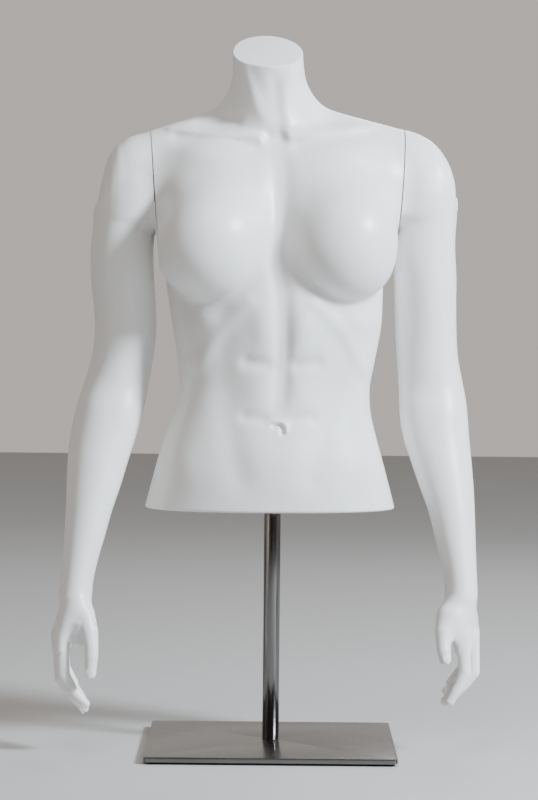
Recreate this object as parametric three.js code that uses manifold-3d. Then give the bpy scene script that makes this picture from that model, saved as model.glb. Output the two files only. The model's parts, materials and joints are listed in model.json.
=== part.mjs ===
// Headless upper-body display mannequin with two pull-off arms, on a pole stand with a square base.
// Millimetres, +Z up. The origin is the pole's axis at the underside of the base, and the chest faces -Y.
import * as THREE from "three";
import { mergeVertices } from "three/addons/utils/BufferGeometryUtils.js";
import Module from "manifold-3d";

const wasm = await Module();
wasm.setup();

// ---------------------------------------------------------------- driving dimensions

const FIT = 0.3; // gap between pieces that touch
const WALL = 5; // moulded shell where it is flat
const SKIN = 7; // moulded shell where it curves
const BODY_TURN = THREE.MathUtils.degToRad(2.5); // how far the body is swivelled on its pole

const BASE = { side: 296, corner: 5, height: 6, sheet: 1, matInset: 6, matHeight: 2.5 };
const POLE = { radius: 10, wall: 1.5, top: 400, plugLength: 30, capHeight: 3 };
const STUD = { radius: 5, headRadius: 10, headHeight: 2, length: 26 };

const HIP = { bottom: 289, recess: 20, boardHeight: 9, edge: 5 };
const BUSH = { radius: 12, bottom: 290.5, top: 345, flangeRadius: 15, flangeHeight: 1.5 };
const SOCKET = { wall: 2, collarRadius: 17, flangeRadius: 38, flangeHeight: 3, screwCircle: 28 };
const THUMB_SCREW = { height: 299, radius: 3, knobRadius: 6.5, knobLength: 11, gap: 6 };

// The shoulder joint's frame: its centre, the tilt of its face, and how much higher the +X shoulder sits.
const SHOULDER = { x: 148, y: 13, z: 676, sway: 2.4, tilt: THREE.MathUtils.degToRad(3.7), lift: 4, seam: 1.6 };
const PLATE = { radius: 32, height: 3.6, bore: 6.6, screwCircle: 26 };
const BLOCK = { radius: 34, height: 14, bore: 23, armRadius: 30, armHeight: 9 };
const MAGNET = { outer: 17.5, inner: 7, height: 6 };
const PEG = { radius: 6, length: 24 };
const STOP_PIN = { radius: 3, circle: 22, length: 9, slotHalf: 3.5 };
const WASHER = { outer: 17, inner: 6.6, height: 1 };
const SCREW = { head: 4, headHeight: 2.3, shank: 1.9, length: 13 };

const NECK = {
  base: [3, 24, 730], top: [-10, -9, 836], baseRadii: [48, 52], topRadii: [41, 48],
  cut: THREE.MathUtils.degToRad(27), lip: 3, root: 45,
};

// Trunk sections by height: half width, front, back.
const TRUNK = [
  [285, 150, -92, 97], [320, 141.5, -94, 93], [350, 133.5, -92, 84], [380, 125, -88, 75],
  [410, 116.5, -84, 69], [432, 114, -82, 67], [470, 118.5, -85, 72], [502, 124, -88, 79],
  [535, 128, -90, 87], [570, 130.5, -88, 93], [610, 129, -82, 97], [650, 121, -73, 97],
  [690, 105, -60, 90], [720, 84, -46, 80], [745, 59, -34, 68], [768, 42, -24, 57],
  [788, 27, -10, 45], [806, 10, 5, 30],
];
const TRUNK_SQUARENESS = 2.25;

// How far the body sways towards +X, by height.
const SWAY = [
  [187, -6], [290, -3.3], [380, -3.3], [436, 1], [500, 3], [560, 0], [600, -1.5], [640, 1], [690, 2.5],
  [735, -3], [765, -7],
];

// Shoulder sections by distance from the middle: centre depth, centre height, half depth, half height.
const SHOULDER_BAR = [
  [0, 24, 700, 55, 66], [40, 24, 703, 54, 68], [70, 22, 702, 53, 65], [100, 18, 695, 52, 62.5], [148, 13, 676, 50, 67],
  [180, 10, 671, 46, 61.5], [200, 8, 663, 37, 51], [208, 7, 656, 26, 37], [212, 7, 652, 14, 19],
  [213.5, 7, 651, 3, 4],
];

// Arm sections by height: centre sideways, centre depth, half width, half depth.
const ARM = [
  [187, 229, -55, 19.8, 26.5], [200, 228.5, -52, 19.6, 26], [227, 225.5, -45, 21, 27],
  [257, 221, -37, 24.2, 28.5], [288, 216.5, -28, 27.7, 31], [318, 211, -18, 33, 34],
  [349, 205.5, -8, 37.5, 37], [379, 199.5, 2, 40.5, 39], [410, 194, 10, 41, 40],
  [440, 189, 16, 38.5, 39.5], [472, 183.5, 17, 37, 39.5], [502, 181, 16, 37, 40.5],
  [533, 181, 14, 37.5, 42], [563, 182, 12, 38, 44], [620, 181.5, 10, 38, 46],
  [660, 179, 10, 37, 46], [684, 173, 10, 33, 43], [704, 165, 11, 24, 34], [718, 158, 12, 10, 16],
];
const ARM_TOP = 718;
const ARMPIT = 609;
// Around the armpit the shoulder draws in and its fillet fades, and the fillet eases off at the outer side.
const ARMPIT_FADE = { below: 12, above: 27, fillet: 22, inset: 26, ease: 0.65, outer: [165, 205], inner: 24 };

const BREAST = { centre: [74.5, -60, 604], radii: [64, 62, 66], fold: 8, slope: 30 };
const CHEST_SWELL = { centre: [72, -36, 668], radii: [52, 36, 62] };

// Hand joints from the wrist's centre: sideways, depth, height, radius. The palm faces the body.
const WRIST_HEIGHT = 187;
const FINGERS = {
  index: [[21, -12, -54, 10], [17, -15, -100, 8.4], [5, -16, -123, 7.4], [-7, -16, -136, 6.2]],
  middle: [[25, 6, -56, 10], [23, 5, -105, 8.6], [9, 5, -131, 7.6], [-5, 5, -146, 6.3]],
  ring: [[23, 23, -53, 9.6], [17, 23, -98, 8.2], [1, 22, -121, 7.2], [-12, 21, -132, 6]],
  pinky: [[16, 38, -46, 8.6], [8, 39, -82, 7.2], [-6, 38, -98, 6.4], [-16, 37, -106, 5.4]],
  thumb: [[-8, -17, -18, 15], [-15, -31, -46, 11.5], [-17, -38, -76, 9.4], [-14, -41, -104, 7.2]],
};
// Palm sections from the wrist's centre by height: sideways, depth, half thickness, half breadth.
const PALM = [
  [-86, 20, 16, 7, 32], [-72, 20.5, 15, 11, 38], [-50, 17, 12, 14.5, 40], [-26, 8, 6, 18.5, 36],
  [-8, 1.5, 1.5, 20, 30], [8, 0, 0, 20, 27],
];
// How each hand turns and leans on its wrist.
const HAND = {
  right: { turn: THREE.MathUtils.degToRad(-4), lean: THREE.MathUtils.degToRad(2) },
  left: { turn: THREE.MathUtils.degToRad(6), lean: THREE.MathUtils.degToRad(7) },
};

// The mannequin's own sides: it faces -Y, so its left is towards +X.
const SIDES = { right: -1, left: 1 };

// ---------------------------------------------------------------- materials

const finish = (color, roughness, metalness = 0) =>
  new THREE.MeshStandardMaterial({ color, roughness, metalness });
const MATERIALS = {
  paint: finish(0xe4e2de, 0.42),
  brushedSteel: finish(0x8d8a86, 0.3, 1),
  zincSteel: finish(0xa9adb0, 0.4, 1),
  ballast: finish(0x3a3a3c, 0.7, 0.6),
  plywood: finish(0xb58d5e, 0.75),
  nylon: finish(0x1d1d1f, 0.5),
  felt: finish(0x2a2a2c, 0.95),
  magnet: finish(0x6f7275, 0.35, 1),
};

// ---------------------------------------------------------------- solids

// A closed three.js geometry as a solid that can be joined and cut.
function solidOf(geometry) {
  const bare = geometry.index ? geometry.toNonIndexed() : geometry.clone();
  bare.deleteAttribute("normal");
  bare.deleteAttribute("uv");
  const merged = mergeVertices(bare, 1e-3);
  return new wasm.Manifold(
    new wasm.Mesh({
      numProp: 3,
      vertProperties: merged.attributes.position.array,
      triVerts: new Uint32Array(merged.index.array),
    }),
  );
}

function geometryOf(solid) {
  const mesh = solid.getMesh();
  return new THREE.BufferGeometry()
    .setAttribute("position", new THREE.BufferAttribute(new Float32Array(mesh.vertProperties), 3))
    .setIndex(new THREE.BufferAttribute(new Uint32Array(mesh.triVerts), 1));
}

const subtractAll = (solid, cutters) => cutters.reduce((left, cutter) => left.subtract(solidOf(cutter)), solid);

// A round piece turned about Z from [radius, height] points that start and end on the axis or close on themselves.
const turned = (points, segments = 24) =>
  new THREE.LatheGeometry(points.map(([r, z]) => new THREE.Vector2(r, z)), segments).rotateX(Math.PI / 2);

const rod = (radius, bottom, top, segments = 24) =>
  turned([[0, bottom], [radius, bottom], [radius, top], [0, top]], segments);

const ring = (inner, outer, bottom, top, segments = 24) =>
  turned([[inner, bottom], [outer, bottom], [outer, top], [inner, top], [inner, bottom]], segments);

// A square plate with rounded corners, centred on Z.
function plate(side, corner, bottom, top) {
  const half = side / 2;
  const outline = new THREE.Shape();
  for (const [x, y, start] of [[1, 1, 0], [-1, 1, 1], [-1, -1, 2], [1, -1, 3]])
    outline.absarc(x * (half - corner), y * (half - corner), corner, (start * Math.PI) / 2, ((start + 1) * Math.PI) / 2);
  outline.closePath();
  return new THREE.ExtrudeGeometry(outline, { depth: top - bottom, bevelEnabled: false, curveSegments: 3 })
    .translate(0, 0, bottom);
}

// A countersunk screw with its head's face at height 0, pointing down. grow makes the hole it sits in.
function screwForm(grow = 0) {
  const tip = 2;
  return turned([
    [0, -SCREW.length - grow], [SCREW.shank + grow, tip - SCREW.length - grow],
    [SCREW.shank + grow, -SCREW.headHeight - grow], [SCREW.head + grow, grow], [0, grow],
  ], 8);
}

// ---------------------------------------------------------------- body form, as distances from its surface

const clamp01 = (value) => Math.min(1, Math.max(0, value));
const eased = (low, high, value) => {
  const t = clamp01((value - low) / (high - low));
  return t * t * (3 - 2 * t);
};

// Two forms joined with a fillet about as wide as reach.
const meld = (a, b, reach) => Math.min(a, b) - Math.max(reach - Math.abs(a - b), 0) ** 2 / (4 * reach);

// Smooth values between sections, each a row that starts with its place.
function sections(rows) {
  const places = rows.map((row) => row[0]);
  const spline = new THREE.CubicInterpolant(places, rows.flatMap((row) => row.slice(1)), rows[0].length - 1);
  return (place) => [...spline.evaluate(Math.min(places.at(-1), Math.max(places[0], place)))];
}

const trunkAt = sections(TRUNK);
const swayAt = sections(SWAY);
const palmAt = sections(PALM);
const barAt = sections(SHOULDER_BAR);
const armAt = sections(ARM);

// Distance to a flattened round, measured along the line from its centre.
function fromOval(offsets, radii, squareness = 2) {
  const size = Math.hypot(...offsets);
  const share = offsets.reduce((sum, offset, k) => sum + Math.abs(offset / radii[k]) ** squareness, 0) ** (1 / squareness);
  return share < 1e-9 ? -Math.min(...radii) : size * (1 - 1 / share);
}

function fromTrunk([x, y, z]) {
  const [width, front, back] = trunkAt(z);
  const top = TRUNK.at(-1)[0];
  const side = fromOval([x, y - (front + back) / 2], [width, (back - front) / 2], TRUNK_SQUARENESS);
  return z > top ? Math.max(side, z - top) : side;
}

function fromShoulderBar([x, y, z]) {
  const [depth, height, halfDepth, halfHeight] = barAt(Math.abs(x));
  const section = fromOval([y - depth, z - height], [halfDepth, halfHeight], 2.1);
  return Math.max(section, Math.abs(x) - SHOULDER_BAR.at(-1)[0]);
}

function fromNeck(point) {
  const base = new THREE.Vector3(...NECK.base);
  const rise = new THREE.Vector3(...NECK.top).sub(base).setX(NECK.top[0] - SWAY.at(-1)[1] - base.x);
  const share = (point[2] - base.z) / rise.z;
  const offsets = [point[0] - base.x - rise.x * share, point[1] - base.y - rise.y * share];
  const radii = NECK.baseRadii.map((radius, k) => radius + (NECK.topRadii[k] - radius) * clamp01(share));
  return Math.max(fromOval(offsets, radii), base.z - NECK.root - point[2]);
}

const fromBall = ([x, y, z], { centre, radii }) =>
  fromOval([Math.abs(x) - centre[0], y - centre[1], z - centre[2]], radii);

function fromArm([x, y, z]) {
  const [sideways, depth, halfWidth, halfDepth] = armAt(z);
  const section = fromOval([Math.abs(x) - sideways, y - depth], [halfWidth, halfDepth]);
  return Math.max(section, z - ARM_TOP);
}

// The body stands straight in the forms above. The shoulders rise towards +X, fading out below the ribs.
const straight = ([x, y, z]) => [x - swayAt(z)[0], y, z - (SHOULDER.lift * x * eased(540, 660, z)) / SHOULDER.x];

function fromChest(point) {
  const place = straight(point);
  return meld(meld(fromTrunk(place), fromShoulderBar(place), 34), fromNeck(place), 36);
}

function fromTorso(point) {
  const place = straight(point);
  const swell = meld(fromChest(point), fromBall(place, CHEST_SWELL), 40);
  const slope = eased(BREAST.centre[2] - 50, BREAST.centre[2] + 50, place[2]);
  return meld(swell, fromBall(place, BREAST), BREAST.fold + (BREAST.slope - BREAST.fold) * slope);
}

// One arm with the part of the shoulder that belongs to it, and nothing of the ribs.
function fromShoulderAndArm(point) {
  const place = straight(point);
  const arm = fromArm(place);
  const height = place[2] - ARMPIT;
  if (height < -ARMPIT_FADE.below) return arm;
  const fillet = 1 + ARMPIT_FADE.fillet * eased(-ARMPIT_FADE.below, ARMPIT_FADE.above, height);
  const reach = fillet * (1 - ARMPIT_FADE.ease * eased(...ARMPIT_FADE.outer, Math.abs(place[0])));
  const inset = ARMPIT_FADE.inset * (1 - eased(-ARMPIT_FADE.below, ARMPIT_FADE.above, height));
  return Math.max(meld(fromTorso(point) + inset, arm, reach), SHOULDER.x - ARMPIT_FADE.inner - Math.abs(place[0]));
}

// ---------------------------------------------------------------- pressing blanks onto the body form

// How far from start, along direction, the surface of a form lies.
function reachTo(form, start, direction, longest) {
  let inside = 0;
  let outside = longest;
  for (let step = 0; step < 22; step++) {
    const middle = (inside + outside) / 2;
    if (form(start.map((value, k) => value + direction[k] * middle)) < 0) inside = middle;
    else outside = middle;
  }
  return inside;
}

// A lathe blank whose rows are pressed to place(row, angle), from its lower pole to its upper one.
function pressed(rows, spokes, place) {
  const blank = turned(rows.map((row, k) => [k === 0 || k === rows.length - 1 ? 0 : 1, k]), spokes);
  const position = blank.getAttribute("position");
  for (let k = 0; k < position.count; k++) {
    const angle = (Math.floor(k / rows.length) % spokes) * ((2 * Math.PI) / spokes);
    position.setXYZ(k, ...place(rows[k % rows.length], angle));
  }
  return blank;
}

// Rows round a centre line. Each has a centre, a tilt about X, a share of the full reach, and an inset from the surface.
function placeOn(form, longest, stretch) {
  return ({ centre, tilt = 0, share = 1, inset = 0 }, angle) => {
    const across = [Math.cos(angle) * stretch, Math.sin(angle)];
    const size = Math.hypot(...across);
    const direction = [across[0] / size, (across[1] / size) * Math.cos(tilt), (across[1] / size) * Math.sin(tilt)];
    const reach = share === 0 ? 0 : Math.max(reachTo(form, centre, direction, longest) - inset, 1) * share;
    return centre.map((value, k) => value + direction[k] * reach);
  };
}

const steps = (from, to, count) => Array.from({ length: count + 1 }, (_, k) => from + ((to - from) * k) / count);

// Torso rows from the hip up to the neck's slanted cut. inset is the wall left outside an inner form.
function torsoRows(heights, neckSteps, wall) {
  const rows = heights.map((z) => ({ centre: [0, 8 + 14 * eased(640, 760, z), z] }));
  const foot = rows.at(-1).centre;
  const top = [NECK.top[0], NECK.top[1], NECK.top[2] - NECK.lip - wall];
  for (const share of steps(0, 1, neckSteps || 1).slice(1, neckSteps + 1))
    rows.push({ centre: foot.map((v, k) => v + (top[k] - v) * share), tilt: NECK.cut * share });
  return rows;
}

// The same form with its surface moved inwards.
const inwards = (form, depth) => (point) => form(point) + depth;
const capped = (rows) => [{ ...rows[0], share: 0 }, ...rows, { ...rows.at(-1), share: 0 }];
const withinShoulders = (form) => (p) => Math.max(form(p), Math.abs(p[0]) - SHOULDER.x - 24);

function torsoBlank() {
  const heights = [...steps(HIP.bottom + HIP.edge, 700, 17), ...steps(700, 762, 6).slice(1)];
  const rows = torsoRows(heights, 4, 0);
  rows.unshift({ ...rows[0], centre: [0, 8, HIP.bottom], inset: HIP.edge * 0.8 });
  rows.push({ ...rows.at(-1), centre: NECK.top, inset: NECK.lip });
  return solidOf(pressed(capped(rows), 34, placeOn(withinShoulders(fromTorso), 260, 1.5)));
}

const BOARD = { bottom: HIP.bottom + HIP.recess, top: HIP.bottom + HIP.recess + HIP.boardHeight, spokes: 20 };

function torsoHollow() {
  const heights = [HIP.bottom - 6, BOARD.bottom, BOARD.top, ...steps(BOARD.top, 690, 6).slice(1), 706, 720];
  const chest = placeOn(withinShoulders(inwards(fromChest, SKIN)), 260, 1.5);
  const neck = placeOn(inwards((point) => fromNeck(straight(point)), SKIN), 100, 1);
  return solidOf(pressed(capped(torsoRows(heights, 0, SKIN)), BOARD.spokes, chest))
    .add(solidOf(pressed(capped(torsoRows([700, 745], 2, SKIN)), 16, neck)));
}

// An arm's rows, on a centre line that leans in to the shoulder's top.
function armBlank(side, heights, form, spokes) {
  const rows = heights.map((z) => {
    const [sideways, depth] = armAt(z);
    const x = side * (sideways - 22 * eased(640, 720, z)) + swayAt(z)[0];
    return { centre: [x, depth, z + side * SHOULDER.lift * eased(540, 660, z)] };
  });
  return solidOf(pressed(capped(rows), spokes, placeOn(form, 120, 1)));
}

// A finger as rows of circles along a curve through its joints, round at both ends.
function fingerBlank(joints) {
  const line = new THREE.CatmullRomCurve3(joints.map(([x, y, z]) => new THREE.Vector3(x, y, z)));
  const thickness = sections(joints.map((joint, k) => [k / (joints.length - 1), joint[3]]));
  const shares = [0, 0, 0.33, 0.66, 1, 1];
  const rows = shares.map((share, k) => {
    const radius = thickness(share)[0];
    const end = k === 0 ? -1 : k === shares.length - 1 ? 1 : 0;
    const axis = line.getTangent(share).normalize();
    return { centre: line.getPoint(share).addScaledVector(axis, end * radius * 0.9), axis, radius: end ? 0 : radius };
  });
  const place = ({ centre, axis, radius }, angle) => {
    const back = new THREE.Vector3(1, 0, 0).projectOnPlane(axis).normalize();
    const side = axis.clone().cross(back);
    return centre.clone().addScaledVector(back, Math.cos(angle) * radius).addScaledVector(side, Math.sin(angle) * radius).toArray();
  };
  return solidOf(pressed(rows, 8, place));
}

// The open hand that hangs from the wrist, for the +X side.
function handBlank(label, side) {
  const palmRows = steps(PALM[0][0], PALM.at(-1)[0], 5).map((z) => ({ z, share: 1 }));
  const palm = solidOf(pressed(capped(palmRows), 12, ({ z, share }, angle) => {
    const [x, y, thickness, breadth] = palmAt(z);
    return [x + share * thickness * Math.cos(angle), y + share * breadth * Math.sin(angle), z];
  }));
  const hand = Object.values(FINGERS).reduce((joined, joints) => joined.add(fingerBlank(joints)), palm);
  const [sideways, depth] = armAt(WRIST_HEIGHT);
  const geometry = geometryOf(hand).rotateZ(-HAND[label].turn).rotateY(HAND[label].lean);
  if (side < 0) {
    geometry.scale(-1, 1, 1);
    geometry.setIndex([...geometry.index.array].reverse());
  }
  return solidOf(geometry.translate(side * sideways + swayAt(WRIST_HEIGHT)[0], depth, WRIST_HEIGHT));
}

// ---------------------------------------------------------------- assembly helpers

const mannequin = new THREE.Group();
const stand = new THREE.Group();
const body = new THREE.Group();
body.rotation.z = BODY_TURN;
mannequin.add(stand, body);

function addPiece(group, name, geometry, material) {
  const mesh = new THREE.Mesh(geometry, material);
  mesh.name = name;
  group.add(mesh);
  return mesh;
}

// The group whose +Z points out of a shoulder's face, with +Y up.
function shoulderGroup(side) {
  const group = new THREE.Group();
  const out = new THREE.Vector3(side * Math.cos(SHOULDER.tilt), 0, -Math.sin(SHOULDER.tilt));
  const up = new THREE.Vector3(side * Math.sin(SHOULDER.tilt), 0, Math.cos(SHOULDER.tilt));
  group.quaternion.setFromRotationMatrix(new THREE.Matrix4().makeBasis(up.clone().cross(out), up, out));
  group.position.set(side * SHOULDER.x + SHOULDER.sway, SHOULDER.y, SHOULDER.z + side * SHOULDER.lift);
  group.updateMatrix();
  return group;
}

// A slab that fills everything more than depth outwards of a shoulder's face, or inwards of it.
function slab(side, depth, outwards) {
  const size = 300;
  return new THREE.BoxGeometry(size, size, size)
    .translate(0, 0, depth + (outwards ? size / 2 : -size / 2))
    .applyMatrix4(shoulderGroup(side).matrix);
}

// Something made round a shoulder's axis, in the body's own frame.
const atShoulder = (side, geometry) => geometry.applyMatrix4(shoulderGroup(side).matrix);

// ---------------------------------------------------------------- stand

function buildStand() {
  const bottom = BASE.matHeight + FIT;
  const top = bottom + BASE.height;
  const underside = top - BASE.sheet;
  addPiece(stand, "base_mat", plate(BASE.side - 2 * BASE.matInset, BASE.corner, 0, BASE.matHeight), MATERIALS.felt);

  const hole = rod(STUD.radius + FIT, bottom - 1, top + 1, 16);
  const tray = solidOf(plate(BASE.side, BASE.corner, bottom, top))
    .subtract(solidOf(plate(BASE.side - 2 * BASE.sheet, BASE.corner - BASE.sheet, bottom - 1, underside)));
  addPiece(stand, "base_cover", geometryOf(tray.subtract(solidOf(hole))), MATERIALS.brushedSteel);

  const studForm = (grow) => turned([
    [0, bottom + FIT - 2 * grow], [STUD.headRadius + grow, bottom + FIT - 2 * grow],
    [STUD.headRadius + grow, bottom + FIT + grow / 2],
    [STUD.radius + grow, bottom + FIT + STUD.headHeight + grow], [STUD.radius + grow, bottom + STUD.length],
    [0, bottom + STUD.length],
  ].filter((point, k) => grow > 0 || k !== 2), 16);
  const slabOfSteel = solidOf(plate(BASE.side - 2 * BASE.sheet - 2 * FIT, BASE.corner - BASE.sheet, bottom, underside - FIT));
  addPiece(stand, "base_ballast", geometryOf(subtractAll(slabOfSteel, [studForm(FIT)])), MATERIALS.ballast);
  addPiece(stand, "base_stud", studForm(0), MATERIALS.zincSteel);

  const bore = POLE.radius - POLE.wall;
  const foot = top + FIT;
  addPiece(stand, "pole_tube", ring(bore, POLE.radius, foot, POLE.top), MATERIALS.brushedSteel);
  const plug = ring(STUD.radius + FIT, bore - FIT, foot, foot + POLE.plugLength);
  addPiece(stand, "pole_foot_plug", plug, MATERIALS.zincSteel);
  const cap = turned([
    [0, POLE.top - 14], [bore - FIT, POLE.top - 14], [bore - FIT, POLE.top + FIT],
    [POLE.radius, POLE.top + FIT], [POLE.radius - 1, POLE.top + POLE.capHeight], [0, POLE.top + POLE.capHeight],
  ]);
  addPiece(stand, "pole_top_cap", cap, MATERIALS.nylon);
}

// ---------------------------------------------------------------- torso

function screwsRound(group, prefix, angles, circle, height, down) {
  angles.forEach((angle, k) => {
    const screw = addPiece(group, `${prefix}_${k + 1}`, screwForm(), MATERIALS.zincSteel);
    screw.position.set(Math.cos(angle) * circle, Math.sin(angle) * circle, height);
    if (!down) screw.rotation.x = Math.PI;
  });
}

const screwHoles = (angles, circle, height, down) =>
  angles.map((angle) => {
    const hole = screwForm(FIT);
    if (!down) hole.rotateX(Math.PI);
    return hole.translate(Math.cos(angle) * circle, Math.sin(angle) * circle, height);
  });

const turns = (...degrees) => degrees.map(THREE.MathUtils.degToRad);
const SOCKET_SCREWS = turns(45, 135, 225, 315);

// The body's screws keep clear of the stop pin's slot, which runs from the top to the back.
const shoulderScrews = (side) => turns(135, 205, 290).map((angle) => (side > 0 ? angle : Math.PI - angle));
const ARM_SCREWS = turns(30, 150, 270);

function buildTorso() {
  let shell = torsoBlank();
  let hollow = torsoHollow();
  for (const side of Object.values(SIDES)) {
    shell = subtractAll(shell, [slab(side, -SHOULDER.seam / 2, true)]);
    hollow = subtractAll(hollow, [slab(side, -SHOULDER.seam / 2 - WALL, true)]);
  }
  shell = shell.subtract(hollow);
  const blockFront = -SHOULDER.seam / 2 - WALL;
  for (const side of Object.values(SIDES))
    shell = subtractAll(shell, [
      atShoulder(side, rod(PLATE.radius + FIT, -12, 2)),
      atShoulder(side, rod(BLOCK.radius + FIT, blockFront - BLOCK.height - 2 * FIT, blockFront)),
    ]);
  addPiece(body, "torso_shell", geometryOf(shell), MATERIALS.paint);

  const boardRows = [BOARD.bottom, BOARD.top].map((z) => ({ centre: [0, 8, z] }));
  const boardBlank = solidOf(
    pressed(capped(boardRows), BOARD.spokes, placeOn(inwards(fromChest, SKIN + 2 * FIT), 260, 1.5)),
  );
  const socketRadius = BUSH.radius + FIT + SOCKET.wall;
  const board = subtractAll(boardBlank, [
    rod(socketRadius + FIT, BOARD.bottom - 1, BOARD.top + 1),
    ...screwHoles(SOCKET_SCREWS, SOCKET.screwCircle, BOARD.bottom - SOCKET.flangeHeight - FIT, false),
  ]);
  addPiece(body, "hip_board", geometryOf(board), MATERIALS.plywood);

  const bore = BUSH.radius + FIT;
  const flangeTop = BOARD.bottom - FIT;
  const flangeBottom = flangeTop - SOCKET.flangeHeight;
  const collarBottom = BUSH.bottom + BUSH.flangeHeight + FIT;
  const closedAt = POLE.top + POLE.capHeight + FIT;
  const socketBlank = solidOf(turned([
    [bore, collarBottom], [SOCKET.collarRadius, collarBottom], [SOCKET.collarRadius, flangeBottom],
    [SOCKET.flangeRadius, flangeBottom], [SOCKET.flangeRadius, flangeTop], [socketRadius, flangeTop],
    [socketRadius, closedAt + SOCKET.wall], [0, closedAt + SOCKET.wall], [0, closedAt], [bore, closedAt],
    [bore, collarBottom],
  ]));
  const screwBore = rod(THUMB_SCREW.radius + FIT, 0, 40, 12).rotateX(-Math.PI / 2).translate(0, 0, THUMB_SCREW.height);
  const socket = subtractAll(socketBlank, [
    screwBore,
    ...screwHoles(SOCKET_SCREWS, SOCKET.screwCircle, flangeBottom, false),
  ]);
  addPiece(body, "pole_socket", geometryOf(socket), MATERIALS.zincSteel);
  screwsRound(body, "socket_screw", SOCKET_SCREWS, SOCKET.screwCircle, flangeBottom, false);

  const bush = turned([
    [POLE.radius + FIT, BUSH.bottom], [BUSH.flangeRadius, BUSH.bottom],
    [BUSH.flangeRadius, BUSH.bottom + BUSH.flangeHeight], [BUSH.radius, BUSH.bottom + BUSH.flangeHeight],
    [BUSH.radius, BUSH.top], [POLE.radius + FIT, BUSH.top], [POLE.radius + FIT, BUSH.bottom],
  ]);
  addPiece(body, "socket_bush", bush, MATERIALS.nylon);
}

// A knurled thumb screw that points at the pole from behind.
function buildThumbScrew() {
  const tip = BUSH.radius + 2 * FIT;
  const knobStart = SOCKET.collarRadius + THUMB_SCREW.gap;
  const knobEnd = knobStart + THUMB_SCREW.knobLength;
  const profile = [
    [0, tip], [THUMB_SCREW.radius - 0.6, tip], [THUMB_SCREW.radius, tip + 0.8], [THUMB_SCREW.radius, knobStart],
    [THUMB_SCREW.knobRadius - 1, knobStart], [THUMB_SCREW.knobRadius, knobStart + 1],
    [THUMB_SCREW.knobRadius, knobEnd - 1], [THUMB_SCREW.knobRadius - 1, knobEnd], [0, knobEnd],
  ];
  const screw = turned(profile, 12).rotateX(-Math.PI / 2).translate(0, 0, THUMB_SCREW.height);
  addPiece(body, "thumb_screw", screw, MATERIALS.zincSteel);
}

// ---------------------------------------------------------------- shoulders

// The curved slot that a stop pin slides along, from the top towards the back, as a closed prism.
function stopSlot(side, bottom, top) {
  const start = Math.PI / 2;
  const end = start - (side * Math.PI) / 2;
  const [inner, outer] = [STOP_PIN.circle - STOP_PIN.slotHalf, STOP_PIN.circle + STOP_PIN.slotHalf];
  const outline = new THREE.Shape();
  outline.absarc(0, 0, outer, start, end, side > 0);
  outline.absarc(Math.cos(end) * STOP_PIN.circle, Math.sin(end) * STOP_PIN.circle, STOP_PIN.slotHalf, end, end + Math.PI, side > 0);
  outline.absarc(0, 0, inner, end, start, side < 0);
  outline.absarc(0, STOP_PIN.circle, STOP_PIN.slotHalf, start + Math.PI, start, side > 0);
  return new THREE.ExtrudeGeometry(outline, { depth: top - bottom, bevelEnabled: false, curveSegments: 4 })
    .translate(0, 0, bottom);
}

function buildBodyShoulder(label, side) {
  const group = shoulderGroup(side);
  body.add(group);
  const face = -SHOULDER.seam / 2;
  const screws = shoulderScrews(side);
  const plateBack = face - PLATE.height;
  const steel = subtractAll(solidOf(ring(PLATE.bore, PLATE.radius, plateBack, face)), [
    stopSlot(side, plateBack - 1, face + 1),
    ...screwHoles(screws, PLATE.screwCircle, face, true),
  ]);
  addPiece(group, `${label}_shoulder_plate`, geometryOf(steel), MATERIALS.zincSteel);

  const blockFront = face - WALL - FIT;
  const wood = solidOf(ring(BLOCK.bore, BLOCK.radius, blockFront - BLOCK.height, blockFront));
  const holes = screwHoles(screws, PLATE.screwCircle, face, true);
  const pinRoom = stopSlot(side, blockFront - BLOCK.height - 1, blockFront + 1);
  addPiece(group, `${label}_shoulder_block`, geometryOf(subtractAll(wood, [pinRoom, ...holes])), MATERIALS.plywood);
  const magnetFront = plateBack - FIT;
  const magnet = ring(MAGNET.inner, MAGNET.outer, magnetFront - MAGNET.height, magnetFront);
  addPiece(group, `${label}_shoulder_magnet`, magnet, MATERIALS.magnet);
  screwsRound(group, `${label}_shoulder_screw`, screws, PLATE.screwCircle, face, true);
  const washer = ring(WASHER.inner, WASHER.outer, -WASHER.height / 2, WASHER.height / 2);
  addPiece(group, `${label}_shoulder_washer`, washer, MATERIALS.felt);
}

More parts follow.
